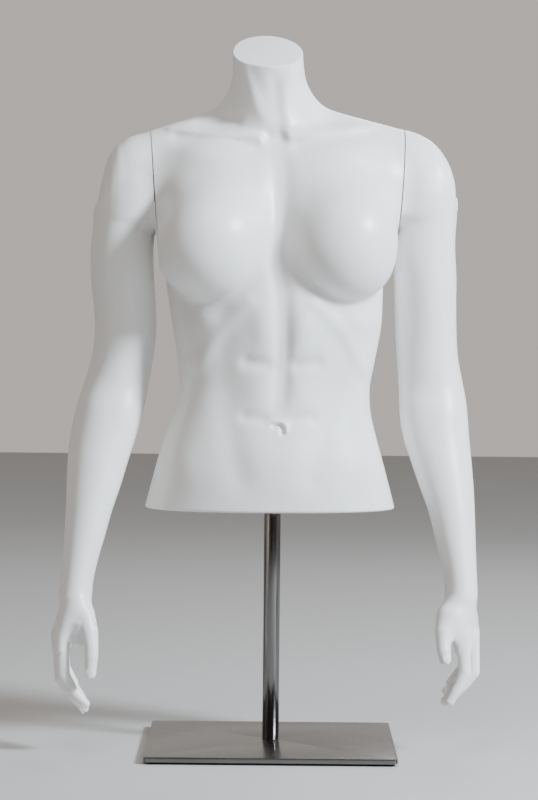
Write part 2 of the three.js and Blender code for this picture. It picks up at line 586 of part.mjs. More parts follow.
function buildArmShoulder(label, side) {
  const group = shoulderGroup(side);
  body.add(group);
  const face = SHOULDER.seam / 2;
  const plateBack = face + PLATE.height;
  const pin = (grow, top) => rod(STOP_PIN.radius + grow, -STOP_PIN.length, top, 12).translate(0, STOP_PIN.circle, 0);
  const steel = subtractAll(solidOf(rod(PLATE.radius, face, plateBack)), [
    ...screwHoles(ARM_SCREWS, PLATE.screwCircle, face, false),
    pin(FIT, plateBack + 1),
    rod(PEG.radius + FIT, face - 1, plateBack + 1, 16),
  ]);
  addPiece(group, `${label}_arm_plate`, geometryOf(steel), MATERIALS.zincSteel);
  const blockFront = face + WALL + FIT;
  const wood = subtractAll(solidOf(rod(BLOCK.armRadius, blockFront, blockFront + BLOCK.armHeight)), [
    ...screwHoles(ARM_SCREWS, PLATE.screwCircle, face, false),
    rod(PEG.radius + 2.5, blockFront - 1, blockFront + 5, 16),
  ]);
  addPiece(group, `${label}_arm_block`, geometryOf(wood), MATERIALS.plywood);
  const peg = turned([
    [0, -PEG.length], [PEG.radius - 1.5, -PEG.length], [PEG.radius, -PEG.length + 2], [PEG.radius, plateBack + FIT],
    [PEG.radius + 2, plateBack + FIT], [PEG.radius + 2, plateBack + 3], [0, plateBack + 3],
  ], 16);
  addPiece(group, `${label}_arm_peg`, peg, MATERIALS.zincSteel);
  addPiece(group, `${label}_arm_stop_pin`, pin(0, plateBack - FIT), MATERIALS.zincSteel);
  screwsRound(group, `${label}_arm_screw`, ARM_SCREWS, PLATE.screwCircle, face, false);
}

// ---------------------------------------------------------------- arms

function buildArmShell(label, side) {
  const outer = armBlank(side, [...steps(WRIST_HEIGHT, 700, 12), 718, 732, 740], fromShoulderAndArm, 16)
    .add(handBlank(label, side));
  const inner = armBlank(side, [...steps(WRIST_HEIGHT + 40, 700, 7), 718], inwards(fromShoulderAndArm, SKIN), 14);
  const hollow = subtractAll(inner, [slab(side, SHOULDER.seam / 2 + WALL, false)]);
  const blockFront = SHOULDER.seam / 2 + WALL;
  const shell = subtractAll(outer.subtract(hollow), [
    slab(side, SHOULDER.seam / 2, false),
    atShoulder(side, rod(PLATE.radius + FIT, -2, 12)),
    atShoulder(side, rod(BLOCK.armRadius + FIT, blockFront, blockFront + BLOCK.armHeight + 2 * FIT)),
  ]);
  addPiece(body, `${label}_arm_shell`, geometryOf(shell), MATERIALS.paint);
}

buildStand();
buildTorso();
buildThumbScrew();
for (const [label, side] of Object.entries(SIDES)) {
  buildBodyShoulder(label, side);
  buildArmShoulder(label, side);
  buildArmShell(label, side);
}

export default mannequin;
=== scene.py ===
import json
import math

import bpy
import numpy as np
from mathutils import Matrix, Vector


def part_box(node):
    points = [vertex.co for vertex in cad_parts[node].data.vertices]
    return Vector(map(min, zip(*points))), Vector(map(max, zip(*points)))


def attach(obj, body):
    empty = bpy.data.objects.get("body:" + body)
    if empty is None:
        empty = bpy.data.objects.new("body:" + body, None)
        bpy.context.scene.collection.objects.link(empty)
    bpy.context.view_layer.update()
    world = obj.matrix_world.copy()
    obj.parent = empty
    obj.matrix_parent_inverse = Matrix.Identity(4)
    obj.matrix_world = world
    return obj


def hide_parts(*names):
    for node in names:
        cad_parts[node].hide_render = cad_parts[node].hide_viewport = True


bl_info = {
    "name": "Display torso",
    "version": (1, 0, 0),
    "blender": (4, 5, 0),
    "location": "View3D > Sidebar > Display torso",
    "description": "A headless display mannequin with pull-off arms on a pole stand",
    "category": "Object",
}

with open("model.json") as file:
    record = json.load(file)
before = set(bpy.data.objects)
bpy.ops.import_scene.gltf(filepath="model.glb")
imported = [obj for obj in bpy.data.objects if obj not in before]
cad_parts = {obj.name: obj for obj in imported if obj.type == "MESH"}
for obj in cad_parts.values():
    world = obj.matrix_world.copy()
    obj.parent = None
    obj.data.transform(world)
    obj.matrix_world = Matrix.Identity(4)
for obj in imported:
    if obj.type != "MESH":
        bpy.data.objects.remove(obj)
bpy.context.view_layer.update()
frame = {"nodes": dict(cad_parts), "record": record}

MM = 0.001
TURN = Matrix.Rotation(math.radians(2.5), 4, "Z")  # how far the body is swivelled on its pole

# Everything below is in millimetres, in the body's own frame, with the chest towards -Y.
HIP_BOTTOM = 289
WALL = 5
SKIN = 7
HIP_LIP = 3
MIDDLE_DEPTH = 8
SHOULDER = {"x": 148, "y": 13, "z": 676, "sway": 2.4, "tilt": math.radians(3.7), "lift": 4, "seam": 1.3}
LIFT_HEIGHTS = (540, 660)  # the heights over which the higher shoulder's lift sets in
OVERLAP = 24  # how far torso and arm are modelled past a shoulder's face, before it is cut
PLATE_RADIUS = 32.3
PLATE_RECESS = {"torso": (-22, 2), "arm": (-2, 16)}
SLAB = 300
ARMPIT = 609
# The shoulder draws in by this inset, between these heights from the armpit.
ARMPIT_FADE = {"from": -12, "to": 34, "inset": 26}
# The fillet between shoulder and arm grows with height, and eases off outwards.
ARMPIT_FILLET = {"least": 1, "more": 22, "to": 30, "ease": 0.65, "inner": 165, "outer": 205}
COVER = {"wall": 1, "corner": 5, "edge": 0.4, "stud": 5.3}
POLE = {"wall": 1.5, "edge": 0.4}
POLE_PAINTED_REFLECTION = 0.95  # the pole's steel colour beside the plate's, both darkened as a painted reflection of dark surroundings
WRIST = 187
WRIST_BLEND = (-24, 12)  # the heights from the wrist over which the arm turns into the palm
TORSO_REACH, NECK_REACH, ARM_REACH = 260, 100, 120  # longer than any ray from a piece's middle
FINENESS = 1.55  # size of the arm's mesh cells
SETTLE_ROUNDS = 4
# The blanks of palm and fingers beside the forms that they settle onto, and how far their ends reach.
PALM_BLANK, FINGER_BLANK, BLANK_END = 0.96, 0.97, 0.8
# A nail beside its finger's radius, except for how deep it is sunk and its thickness.
NAIL = {"back": 0.2, "half_width": 0.76, "half_length": 1.05, "sunk": 1.05, "half_thickness": 1.6}
SMOOTH_ANGLE = 40  # in degrees
ARM_HOLLOW = (WRIST + 45, 722)
HAND_REACH = 60  # how far above the wrist the hand's form takes over
NECK_BASE, NECK_TOP, NECK_CUT = (3, 24, 730), (-10, -9, 836), math.radians(27)
NECK = {"radii": (48, 52), "taper": (7, 4), "lean": 7, "foot": 45, "highest": 1.3}
NECK_LIP = 1.4
# The mannequin's own sides: it faces -Y, so its left is towards +X.
SIDES = {"right": -1, "left": 1}

# Trunk by height: half width, front, back.
TRUNK = [
    (285, 151.5, -92, 97), (300, 147.5, -93, 96), (320, 142, -94, 93), (350, 133.5, -92, 84),
    (380, 125, -88, 75), (410, 116.5, -84, 69), (432, 114, -82, 67), (470, 118.5, -85, 72),
    (502, 124, -88, 79), (535, 128, -90, 87),
    (570, 130.5, -88, 93), (610, 129, -82, 97), (650, 121, -73, 97), (690, 105, -60, 90), (720, 84, -46, 80),
    (745, 59, -34, 68), (768, 42, -24, 57), (788, 27, -10, 45), (806, 10, 5, 30),
]
# How far the body sways towards +X, by height.
SWAY = [
    (187, -6), (290, -3.3), (380, -3.3), (436, 1), (500, 3), (560, 0), (600, -1.5), (640, 1), (690, 2.5),
    (735, -4), (765, -8),
]
# Shoulders by distance from the middle: centre depth, centre height, half depth, half height.
SHOULDER_BAR = [
    (0, 24, 700, 55, 66), (40, 24, 703, 54, 68), (70, 22, 702, 53, 65), (100, 18, 695, 52, 62.5),
    (148, 13, 676, 50, 67), (180, 10, 671, 46, 61.5), (192, 9, 668, 43, 56), (202, 8, 664, 37, 46),
    (209, 7, 658, 29, 33), (213, 7, 652, 18, 18), (214.5, 7, 650, 4, 4),
]
# Arm by height: centre sideways, centre depth, half width, half depth.
ARM = [
    (187, 229, -55, 19.8, 26.5), (200, 228.5, -52, 19.6, 26), (227, 225.5, -45, 21, 27),
    (257, 221, -37, 24.2, 28.5), (288, 216.5, -28, 27.7, 31), (318, 211, -18, 32.5, 34),
    (349, 205.5, -8, 36.5, 37), (379, 199.5, 2, 39.5, 39), (410, 194, 10, 40, 40),
    (440, 189, 16, 38.5, 39.5), (472, 183.5, 17, 37, 39.5), (502, 181, 16, 37, 40.5),
    (533, 181, 14, 37.5, 42), (563, 182, 12, 38, 44), (620, 181.5, 10, 38, 46),
    (650, 180, 10, 37, 46), (672, 178, 10, 32, 41), (690, 175, 10, 22, 30), (700, 172, 10, 10, 14),
]
ARM_TOP = 700
BREAST = {"centre": (68, -60, 606), "radii": (64, 64, 69), "slant": math.radians(15)}
CHEST_SWELL = {"centre": (60, -37, 664), "radii": (54, 35, 60), "slant": math.radians(-24)}
# Fillets between the forms. The breast's is tighter below it than above it.
FILLETS = {"shoulders": 34, "neck": 36, "swell": 40, "breast": (10, 32), "breast_heights": (552, 655)}

# Bumps by place: middle, radii, height. They are mirrored across the middle, except where it is 0.
BUMPS = [
    ((0, -46, 733), (9, 40, 11), -6), ((0, -60, 668), (11, 45, 45), -3), ((46, -10, 754), (30, 40, 14), -3),
    ((92, -62, 694), (30, 40, 20), -3), ((0, -95, 352), (50, 40, 36), 5), ((0, -95, 585), (9, 40, 60), -4),
    ((19, -95, 509), (16, 40, 34), 4.6), ((20, -95, 432), (18, 40, 22), 3.8),
    ((0, -95, 470), (7, 60, 58), -4.6),
    ((88, -80, 512), (30, 60, 15), 2.5), ((104, -60, 345), (26, 60, 26), 3),
    ((0, 80, 470), (11, 50, 150), -7), ((30, 70, 430), (20, 50, 80), 3.5), ((0, 100, 640), (10, 50, 90), -5),
    ((72, 98, 660), (36, 50, 42), 7), ((50, 98, 640), (9, 50, 48), -3), ((95, 90, 610), (30, 50, 22), 2.5),
    ((0, 62, 752), (14, 40, 12), 2.5), ((24, 90, 318), (9, 40, 9), -1.5),
]
# Ridges by place on the front: points by distance from the middle and height, width, height.
RIDGES = [
    ([(14, 732), (34, 735), (70, 740), (116, 746)], 6, 2.3),
    ([(22, 721), (60, 726), (110, 733)], 8, -2),
    ([(40, 752), (80, 752)], 8, -2),
    ([(64, 520), (63, 460), (55, 400), (38, 330)], 17, -3),
    ([(14, 463), (36, 466)], 8, -3),
    ([(14, 399), (34, 402)], 7.5, -2.4),
    ([(34, 536), (56, 516), (78, 486), (94, 458)], 9, 2),
]
# Ridges of the neck's front: points from its middle, width, height.
NECK_RIDGES = [
    ([(-2, 728), (-11, 752), (-20, 776), (-31, 806), (-38, 840)], 9, 3.2),
    ([(16, 738), (17, 762), (19, 786), (27, 812), (34, 840)], 9, 2.9),
    ([(8, 738), (7, 760), (4, 800)], 7, -1.3),
]
NAVEL = (5.5, 387)
# The navel's fold and the hood over it, from the navel's middle.
NAVEL_FOLD = [(-6, 4), (-2.5, 5.5), (1, 5), (4, 1.5), (4.5, -4)]
NAVEL_HOOD = [(-5, 9), (2, 9.5), (8, 5), (9, -2)]

# Bumps of the arms by place: middle, radii, height.
ARM_BUMPS = [
    ((184, -30, 540), (22, 22, 50), 3), ((184, 55, 560), (22, 24, 55), 3.5),
    ((190, -25, 430), (34, 24, 17), -2), ((191, 56, 430), (16, 18, 16), 4),
    ((214, 0, 405), (20, 34, 34), 3.5), ((172, -12, 398), (16, 30, 36), 2.5),
    ((219, 10, 612), (16, 34, 26), -1.5), ((241, -36, 205), (9, 10, 9), 2.4),
]

# How far each digit's fillet reaches into the palm, where it isn't a finger's.
PALM_FILLETS = {"thumb": 18, "web": 14}
FINGER_FILLET = 7

# Palms from the wrist's middle by height: outwards, depth, half thickness, half breadth.
# Fingers from the wrist's middle by joint: outwards, depth, height, radius. The web is the skin
# between thumb and palm.
HANDS = {
    "right": {
        "turn": math.radians(-4),
        "palm": [
            (-62, 15, 13, 9.5, 35), (-48, 13.5, 12, 11.8, 38), (-28, 8, 7, 14.8, 36), (-10, 1.5, 2, 17, 30),
            (10, 0, 0, 19.4, 26.4),
        ],
        "fingers": {
            "index": [
                (15, -13, -44, 9), (14.5, -15.5, -70, 7.8), (13.5, -16, -92, 8), (4, -16.5, -108, 7.1),
                (-2, -17, -115, 6.8), (-13, -17, -126, 5.4),
            ],
            "middle": [
                (18.5, 4.5, -46, 9.4), (17.5, 3.5, -74, 8.2), (15.5, 3, -98, 8.3), (5, 3, -113, 7.4),
                (-1, 3, -121, 7.1), (-11, 3.5, -134, 5.6),
            ],
            "ring": [
                (18, 23, -44, 9), (17.5, 22.5, -70, 7.9), (16, 22, -93, 8), (7, 21.5, -106, 7.1),
                (1, 21.5, -113, 6.8), (-8, 21, -124, 5.4),
            ],
            "little": [
                (15, 39, -38, 8), (15.5, 40, -58, 6.8), (14.5, 40, -76, 6.8), (12, 39, -90, 5.9),
                (8, 38.5, -97, 5.6), (1, 38, -109, 4.8),
            ],
            "thumb": [
                (-11, -18, -22, 12.8), (-17, -26, -40, 10.6), (-19.5, -32, -56, 8.4), (-19.5, -34, -68, 8.2),
                (-18.5, -35, -88, 6.9),
            ],
            "web": [(-8, -20, -30, 12), (-3, -18, -49, 9)],
        },
    },
    "left": {
        "turn": math.radians(20),
        "palm": [
            (-62, 7, 10, 9.5, 35), (-48, 6.5, 9, 12, 38), (-28, 3.5, 5, 15.5, 36), (-10, 0, 1.5, 17.5, 30),
            (10, 0, 0, 19.4, 26.4),
        ],
        "fingers": {
            "index": [
                (2, -17, -42, 9), (2, -20, -66, 7.8), (3, -22, -87, 8), (-4, -23, -102, 7.2),
                (-8, -23.5, -109, 6.9), (-15, -24, -121, 5.5),
            ],
            "middle": [
                (13, -1, -46, 9.4), (14.5, -3, -70, 8.2), (14.5, -4, -88, 8.4), (2, -5, -104, 7.5),
                (-5, -5.5, -111, 7.2), (-18, -6, -123, 5.7),
            ],
            "ring": [
                (15, 17.5, -44, 9), (15.5, 16.5, -68, 7.9), (15, 15.5, -86, 8), (4, 14, -99, 7.1),
                (-4, 13.5, -105, 6.8), (-15, 13, -113, 5.4),
            ],
            "little": [
                (14, 34, -38, 8), (14, 34.5, -58, 6.8), (13, 34, -78, 6.8), (4, 33, -91, 6),
                (-1, 32.5, -97, 5.7), (-9, 32, -106, 4.8),
            ],
            "thumb": [
                (-18, -19, -22, 13.6), (-23, -29, -38, 10.8), (-24, -35, -52, 8.4), (-23.5, -38, -60, 8.2),
                (-22, -40, -69, 6.8),
            ],
        },
    },
}


# ---------------------------------------------------------------- forms, as distances from a surface


def eased(low, high, value):
    share = np.clip((value - low) / (high - low), 0, 1)
    return share * share * (3 - 2 * share)


def meld(a, b, reach):
    """Two forms joined with a fillet about as wide as reach."""
    return np.minimum(a, b) - np.maximum(reach - np.abs(a - b), 0) ** 2 / (4 * reach)


def sections(rows):
    """Smooth values between rows, each of which starts with its place."""
    table = np.array(rows, float)
    places, values = table[:, 0], table[:, 1:]
    slopes = np.gradient(values, places, axis=0)

    def at(place):
        place = np.clip(place, places[0], places[-1])
        k = np.clip(np.searchsorted(places, place) - 1, 0, len(places) - 2)
        gap = (places[k + 1] - places[k])[..., None]
        t = (place[..., None] - places[k][..., None]) / gap
        near = (2 * t**3 - 3 * t**2 + 1) * values[k] + (t**3 - 2 * t**2 + t) * gap * slopes[k]
        far = (3 * t**2 - 2 * t**3) * values[k + 1] + (t**3 - t**2) * gap * slopes[k + 1]
        return np.moveaxis(near + far, -1, 0)

    return at


trunk_at, sway_at, bar_at, arm_at = sections(TRUNK), sections(SWAY), sections(SHOULDER_BAR), sections(ARM)


def from_oval(offsets, radii, squareness=2.0):
    """Distance to a flattened round, measured along the line from its middle."""
    size = np.sqrt(sum(offset**2 for offset in offsets))
    powers = sum(np.abs(offset / radius) ** squareness for offset, radius in zip(offsets, radii))
    return size * (1 - 1 / np.maximum(powers ** (1 / squareness), 1e-6))


def rounded_side(x, width):
    """Distance from the middle, without a crease there."""
    return np.sqrt(x * x + width * width) - width


def bump(point, middle, radii, height):
    spread = sum(((p - m) / r) ** 2 for p, m, r in zip(point, middle, radii))
    return height * np.exp(-spread)


def ridge(across, up, points, width, height):
    """A soft ridge along a line of points in one plane."""
    nearest = np.full(across.shape, np.inf)
    for (x0, z0), (x1, z1) in zip(points, points[1:]):
        run, rise = x1 - x0, z1 - z0
        share = np.clip(((across - x0) * run + (up - z0) * rise) / (run * run + rise * rise), 0, 1)
        nearest = np.minimum(nearest, (across - x0 - share * run) ** 2 + (up - z0 - share * rise) ** 2)
    return height * np.exp(-nearest / width**2)


def straight(point):
    """The same place on a body that doesn't sway, with both shoulders level."""
    x, y, z = point
    return x - sway_at(z)[0], y, z - SHOULDER["lift"] * x * eased(*LIFT_HEIGHTS, z) / SHOULDER["x"]


def from_neck(place):
    x, y, z = place
    base = NECK_BASE
    share = (z - base[2]) / (NECK_TOP[2] - base[2])
    across = x - (base[0] + (NECK_TOP[0] + NECK["lean"] - base[0]) * share)
    back = y - (base[1] + (NECK_TOP[1] - base[1]) * share)
    level = np.clip(share, 0, NECK["highest"])
    radii = [radius - taper * level for radius, taper in zip(NECK["radii"], NECK["taper"])]
    detail = sum(ridge(across, z, *row) for row in NECK_RIDGES) * eased(10, -20, back)
    return np.maximum(from_oval((across, back), radii), base[2] - NECK["foot"] - z) - detail


def from_chest(point):
    x, y, z = straight(point)
    width, front, back = trunk_at(z)
    trunk = from_oval((x, y - (front + back) / 2), (width, (back - front) / 2), 2.25)
    trunk = np.where(z > TRUNK[-1][0], np.maximum(trunk, z - TRUNK[-1][0]), trunk)
    depth, height, half_depth, half_height = bar_at(np.abs(x))
    bar = from_oval((y - depth, z - height), (half_depth, half_height), 2.1)
    bar = np.maximum(bar, np.abs(x) - SHOULDER_BAR[-1][0])
    return meld(meld(trunk, bar, FILLETS["shoulders"]), from_neck((x, y, z)), FILLETS["neck"])


def from_slanted(place, form):
    x, y, z = place
    across, up = rounded_side(x, 12) - form["centre"][0], z - form["centre"][2]
    c, s = math.cos(form["slant"]), math.sin(form["slant"])
    return from_oval((across * c + up * s, y - form["centre"][1], up * c - across * s), form["radii"])


def from_torso(point):
    x, y, z = straight(point)
    swell = meld(from_chest(point), from_slanted((x, y, z), CHEST_SWELL), FILLETS["swell"])
    under, over = FILLETS["breast"]
    fillet = under + (over - under) * eased(*FILLETS["breast_heights"], z)
    body = meld(swell, from_slanted((x, y, z), BREAST), fillet)
    side = rounded_side(x - 3.5 * eased(590, 540, z), 5)
    detail = sum(bump((side, y, z), *row) for row in BUMPS)
    detail = detail + sum(ridge(side, z, *row) for row in RIDGES) * eased(10, -12, y)
    across, up = x - NAVEL[0], z - NAVEL[1]
    navel = ridge(across, up, NAVEL_FOLD, 2.3, -3.8) + ridge(across, up, NAVEL_HOOD, 3, 1.2)
    detail = detail + navel * (y < 0)
    return body - detail


def from_arm(point):
    x, y, z = straight(point)
    sideways, depth, half_width, half_depth = arm_at(z)
    arm = np.maximum(from_oval((np.abs(x) - sideways, y - depth), (half_width, half_depth)), z - ARM_TOP)
    return arm - sum(bump((np.abs(x), y, z), *row) for row in ARM_BUMPS)


def shoulder_and_arm(point):
    """The arm with the shoulder that belongs to it, which draws in towards the armpit."""
    x, _, z = straight(point)
    arm, height = from_arm(point), z - ARMPIT
    fade, fillet = ARMPIT_FADE, ARMPIT_FILLET
    reach = fillet["least"] + fillet["more"] * eased(fade["from"], fillet["to"], height)
    reach = reach * (1 - fillet["ease"] * eased(fillet["inner"], fillet["outer"], np.abs(x)))
    shoulder = from_torso(point) + fade["inset"] * (1 - eased(fade["from"], fade["to"], height))
    joined = np.maximum(meld(shoulder, arm, reach), SHOULDER["x"] - OVERLAP - np.abs(x))
    return np.where(height < fade["from"], arm, joined)


def from_segment(point, a, b):
    """Distance to a rod between two points with their own radii."""
    run = [q - p for p, q in zip(a[:3], b[:3])]
    offset = [p - q for p, q in zip(point, a[:3])]
    share = np.clip(sum(o * r for o, r in zip(offset, run)) / sum(r * r for r in run), 0, 1)
    radius = a[3] + (b[3] - a[3]) * share
    return np.sqrt(sum((o - share * r) ** 2 for o, r in zip(offset, run))) - radius


def wrist_middle(side):
    sideways, depth = (float(v) for v in arm_at(np.array(float(WRIST)))[:2])
    return side * sideways + float(sway_at(np.array(float(WRIST)))[0]), depth, WRIST


def hand_form(label, side):
    """The open hand below a wrist, as one form that takes points in the body's frame."""
    hand = HANDS[label]
    palm_at = sections(hand["palm"])
    low = hand["palm"][0][0]
    c, s = math.cos(hand["turn"]), math.sin(hand["turn"])
    wrist = wrist_middle(side)

    def at(point, arm):
        x, y, z = (point[0] - wrist[0]) * side, point[1] - wrist[1], point[2] - wrist[2]
        middle_x, middle_y, thick, broad = palm_at(z)
        dx, dy = x - middle_x, y - middle_y
        palm = from_oval((dx * c - dy * s, dx * s + dy * c), (thick, broad), 2.2)
        palm = np.maximum(palm, low - z)
        share = eased(*WRIST_BLEND, z)
        hand_and_arm = arm * share + palm * (1 - share)
        result = hand_and_arm
        for name, joints in hand["fingers"].items():
            finger = from_segment((x, y, z), joints[0], joints[1])
            for a, b in zip(joints[1:], joints[2:]):
                finger = np.minimum(finger, from_segment((x, y, z), a, b))
            result = np.minimum(result, meld(hand_and_arm, finger, PALM_FILLETS.get(name, FINGER_FILLET)))
        return result

    return at


def arm_form(label, side):
    hand = hand_form(label, side)

    def at(point):
        return np.where(point[2] < WRIST + HAND_REACH, hand(point, from_arm(point)), shoulder_and_arm(point))

    return at


# ---------------------------------------------------------------- modelling


def select_only(obj):
    bpy.ops.object.select_all(action="DESELECT")
    obj.select_set(True)
    bpy.context.view_layer.objects.active = obj
    return obj


def newest(name):
    obj = bpy.context.active_object
    obj.name = obj.data.name = name
    return obj


def places(obj):
    co = np.empty(len(obj.data.vertices) * 3, np.float32)
    obj.data.vertices.foreach_get("co", co)
    return co.reshape(-1, 3).astype(float).T / MM


def put(obj, point):
    obj.data.vertices.foreach_set("co", (np.stack(point, 1) * MM).astype(np.float32).ravel())
    obj.data.update()


def sphere_blank(name, segments, rings, place):
    """A round primitive whose rings are laid along a shape, place(ring number, angle)."""
    bpy.ops.object.select_all(action="DESELECT")
    bpy.ops.mesh.primitive_uv_sphere_add(segments=segments, ring_count=rings, radius=1)
    obj = newest(name)
    x, y, z = places(obj) * MM
    ring = np.rint((1 - np.arccos(np.clip(z, -1, 1)) / math.pi) * rings).astype(int)
    put(obj, place(ring, np.arctan2(y, x)))
    return obj


def pressed(form, rows, longest, stretch=1.0, closer=0.0):
    """Where rays from each row's middle meet a form. A row is (x, y, z, tilt, share of the reach, inset).

    stretch and closer draw more of the rays to the sides and to the front.
    """
    table = np.array(rows, float)

    def place(ring, angle):
        angle = angle - closer * np.cos(angle)
        x, y, z, tilt, share, inset = table[ring].T
        across, forward = np.cos(angle) * stretch, np.sin(angle)
        size = np.hypot(across, forward)
        ray = (across / size, forward / size * np.cos(tilt), forward / size * np.sin(tilt))
        inside, outside = np.zeros(len(x)), np.full(len(x), float(longest))
        for _ in range(24):
            middle = (inside + outside) / 2
            within = form((x + ray[0] * middle, y + ray[1] * middle, z + ray[2] * middle)) < 0
            inside, outside = np.where(within, middle, inside), np.where(within, outside, middle)
        reach = np.maximum(inside - inset, 0.5) * share
        return x + ray[0] * reach, y + ray[1] * reach, z + ray[2] * reach

    return place


def settle(obj, form):
    """Moves every vertex onto a form's surface."""
    step = 0.4
    for _ in range(SETTLE_ROUNDS):
        x, y, z = places(obj)
        here = form((x, y, z))
        shifted = ((x + step, y, z), (x, y + step, z), (x, y, z + step))
        slope = [(form(place) - here) / step for place in shifted]
        steepness = np.maximum(sum(s * s for s in slope), 0.2)
        move = np.clip(here / steepness, -6, 6)
        put(obj, (x - slope[0] * move, y - slope[1] * move, z - slope[2] * move))


def apply_modifier(obj, kind, **settings):
    select_only(obj)
    bpy.ops.object.modifier_add(type=kind)
    modifier = obj.modifiers[-1]
    for key, value in settings.items():
        setattr(modifier, key, value)
    bpy.ops.object.modifier_apply(modifier=modifier.name)
    return obj


def combine(obj, other, operation):
    """Adds another closed solid to a piece, or takes it away, and uses it up."""
    apply_modifier(obj, "BOOLEAN", object=other, operation=operation, solver="EXACT")
    bpy.data.objects.remove(other, do_unlink=True)
    return obj


def cut(obj, cutter):
    return combine(obj, cutter, "DIFFERENCE")


def join(target, *others):
    select_only(target)
    for other in others:
        other.select_set(True)
    bpy.ops.object.join()
    return target


def bisect(obj, point, normal):
    """Cuts away what is on a plane's outer side and closes the cut."""
    select_only(obj)
    bpy.ops.object.mode_set(mode="EDIT")
    bpy.ops.mesh.select_all(action="SELECT")
    bpy.ops.mesh.bisect(
        plane_co=Vector(point) * MM, plane_no=Vector(normal), use_fill=True, clear_outer=True, threshold=1e-6
    )
    bpy.ops.object.mode_set(mode="OBJECT")
    return obj


def shoulder_slab(side, start):
    """A block at a shoulder that reaches outwards from start along the shoulder's axis."""
    bpy.ops.object.select_all(action="DESELECT")
    bpy.ops.mesh.primitive_cube_add(size=SLAB * MM, location=(0, 0, (start + SLAB / 2) * MM))
    obj = newest("shoulder_slab")
    bpy.ops.object.transform_apply(location=True, rotation=True, scale=True)
    obj.data.transform(shoulder_frame(side)[0])
    return obj


def turned(name, profile, segments):
    """A round piece spun about Z from its radius and height points, closed at the axis or on itself."""
    bpy.ops.object.select_all(action="DESELECT")
    bpy.ops.mesh.primitive_plane_add(size=1)
    obj = newest(name)
    bpy.ops.object.mode_set(mode="EDIT")
    bpy.ops.mesh.delete(type="VERT")
    bpy.ops.object.mode_set(mode="OBJECT")
    obj.data.vertices.add(len(profile))
    put(obj, np.array([(r, 0, z) for r, z in profile], float).T)
    obj.data.edges.add(len(profile) - 1)
    obj.data.edges.foreach_set("vertices", [v for k in range(len(profile) - 1) for v in (k, k + 1)])
    obj.data.update()
    select_only(obj)
    bpy.ops.object.mode_set(mode="EDIT")
    bpy.ops.mesh.select_all(action="SELECT")
    bpy.ops.mesh.spin(steps=segments, angle=2 * math.pi, center=(0, 0, 0), axis=(0, 0, 1))
    bpy.ops.mesh.select_all(action="SELECT")
    bpy.ops.mesh.remove_doubles(threshold=1e-6)
    bpy.ops.mesh.normals_make_consistent(inside=False)
    bpy.ops.object.mode_set(mode="OBJECT")
    return obj


def shoulder_frame(side):
    """The frame whose +Z points out of a shoulder's face, in the body's own frame."""
    tilt = SHOULDER["tilt"]
    out = Vector((side * math.cos(tilt), 0, -math.sin(tilt)))
    up = Vector((side * math.sin(tilt), 0, math.cos(tilt)))
    across, height = side * SHOULDER["x"] + SHOULDER["sway"], SHOULDER["z"] + side * SHOULDER["lift"]
    middle = Vector((across, SHOULDER["y"], height))
    turn = Matrix((up.cross(out), up, out)).transposed().to_4x4()
    return Matrix.Translation(middle * MM) @ turn, out, middle


def shoulder_rod(side, radius, start, end):
    """A plain rod on a shoulder's axis."""
    bpy.ops.object.select_all(action="DESELECT")
    bpy.ops.mesh.primitive_cylinder_add(
        vertices=72, radius=radius * MM, depth=(end - start) * MM, location=(0, 0, (start + end) / 2 * MM)
    )
    obj = newest("shoulder_rod")
    bpy.ops.object.transform_apply(location=True, rotation=True, scale=True)
    obj.data.transform(shoulder_frame(side)[0])
    return obj


def capped(rows):
    """The rows with a closing point at each end."""
    first, last = list(rows[0]), list(rows[-1])
    first[4] = last[4] = 0
    return [first, *rows, last]


def upright(heights):
    """Level rows whose middles move back towards the neck."""
    depths = [MIDDLE_DEPTH + 14 * float(eased(640, 760, np.array(float(z)))) for z in heights]
    return [(0, depth, z, 0, 1, 0) for depth, z in zip(depths, heights)]


def neck_rows(foot, top, count):
    """Rows that lean over from a level one to the neck's slanted cut."""
    shares = [(k + 1) / count for k in range(count)]
    return [tuple(f + (t - f) * s for f, t in zip(foot[:3], top)) + (NECK_CUT * s, 1, 0) for s in shares]


def within_shoulders(form):
    return lambda point: np.maximum(form(point), np.abs(point[0]) - SHOULDER["x"] - OVERLAP)


def torso_rows():
    """Rows up the torso, closest at the navel and the shoulders, with rounded edges at hip and neck."""
    belly, hip, lip = NAVEL[1], HIP_BOTTOM + HIP_LIP, HIP_LIP
    heights = [np.linspace(hip, belly - 15, 36), np.linspace(belly - 14, belly + 14, 26)]
    level = upright(np.concatenate([*heights, np.linspace(belly + 16, 700, 126)]))
    turns = np.linspace(math.pi / 2, 0.3, 5)
    foot = [(0, MIDDLE_DEPTH, hip - lip * math.sin(a), 0, 1, lip - lip * math.cos(a)) for a in turns]
    slope = upright(np.linspace(701, 762, 52))
    crown = neck_rows(slope[-1], [*NECK_TOP[:2], NECK_TOP[2] - NECK_LIP], 40)
    x, y, z = crown[-1][:3]
    turns = np.linspace(0.4, math.pi / 2, 4)
    edge = [
        (x, y, z + NECK_LIP * math.sin(a), NECK_CUT, 1, NECK_LIP - NECK_LIP * math.cos(a)) for a in turns
    ]
    return capped(foot + level + slope + crown + edge)


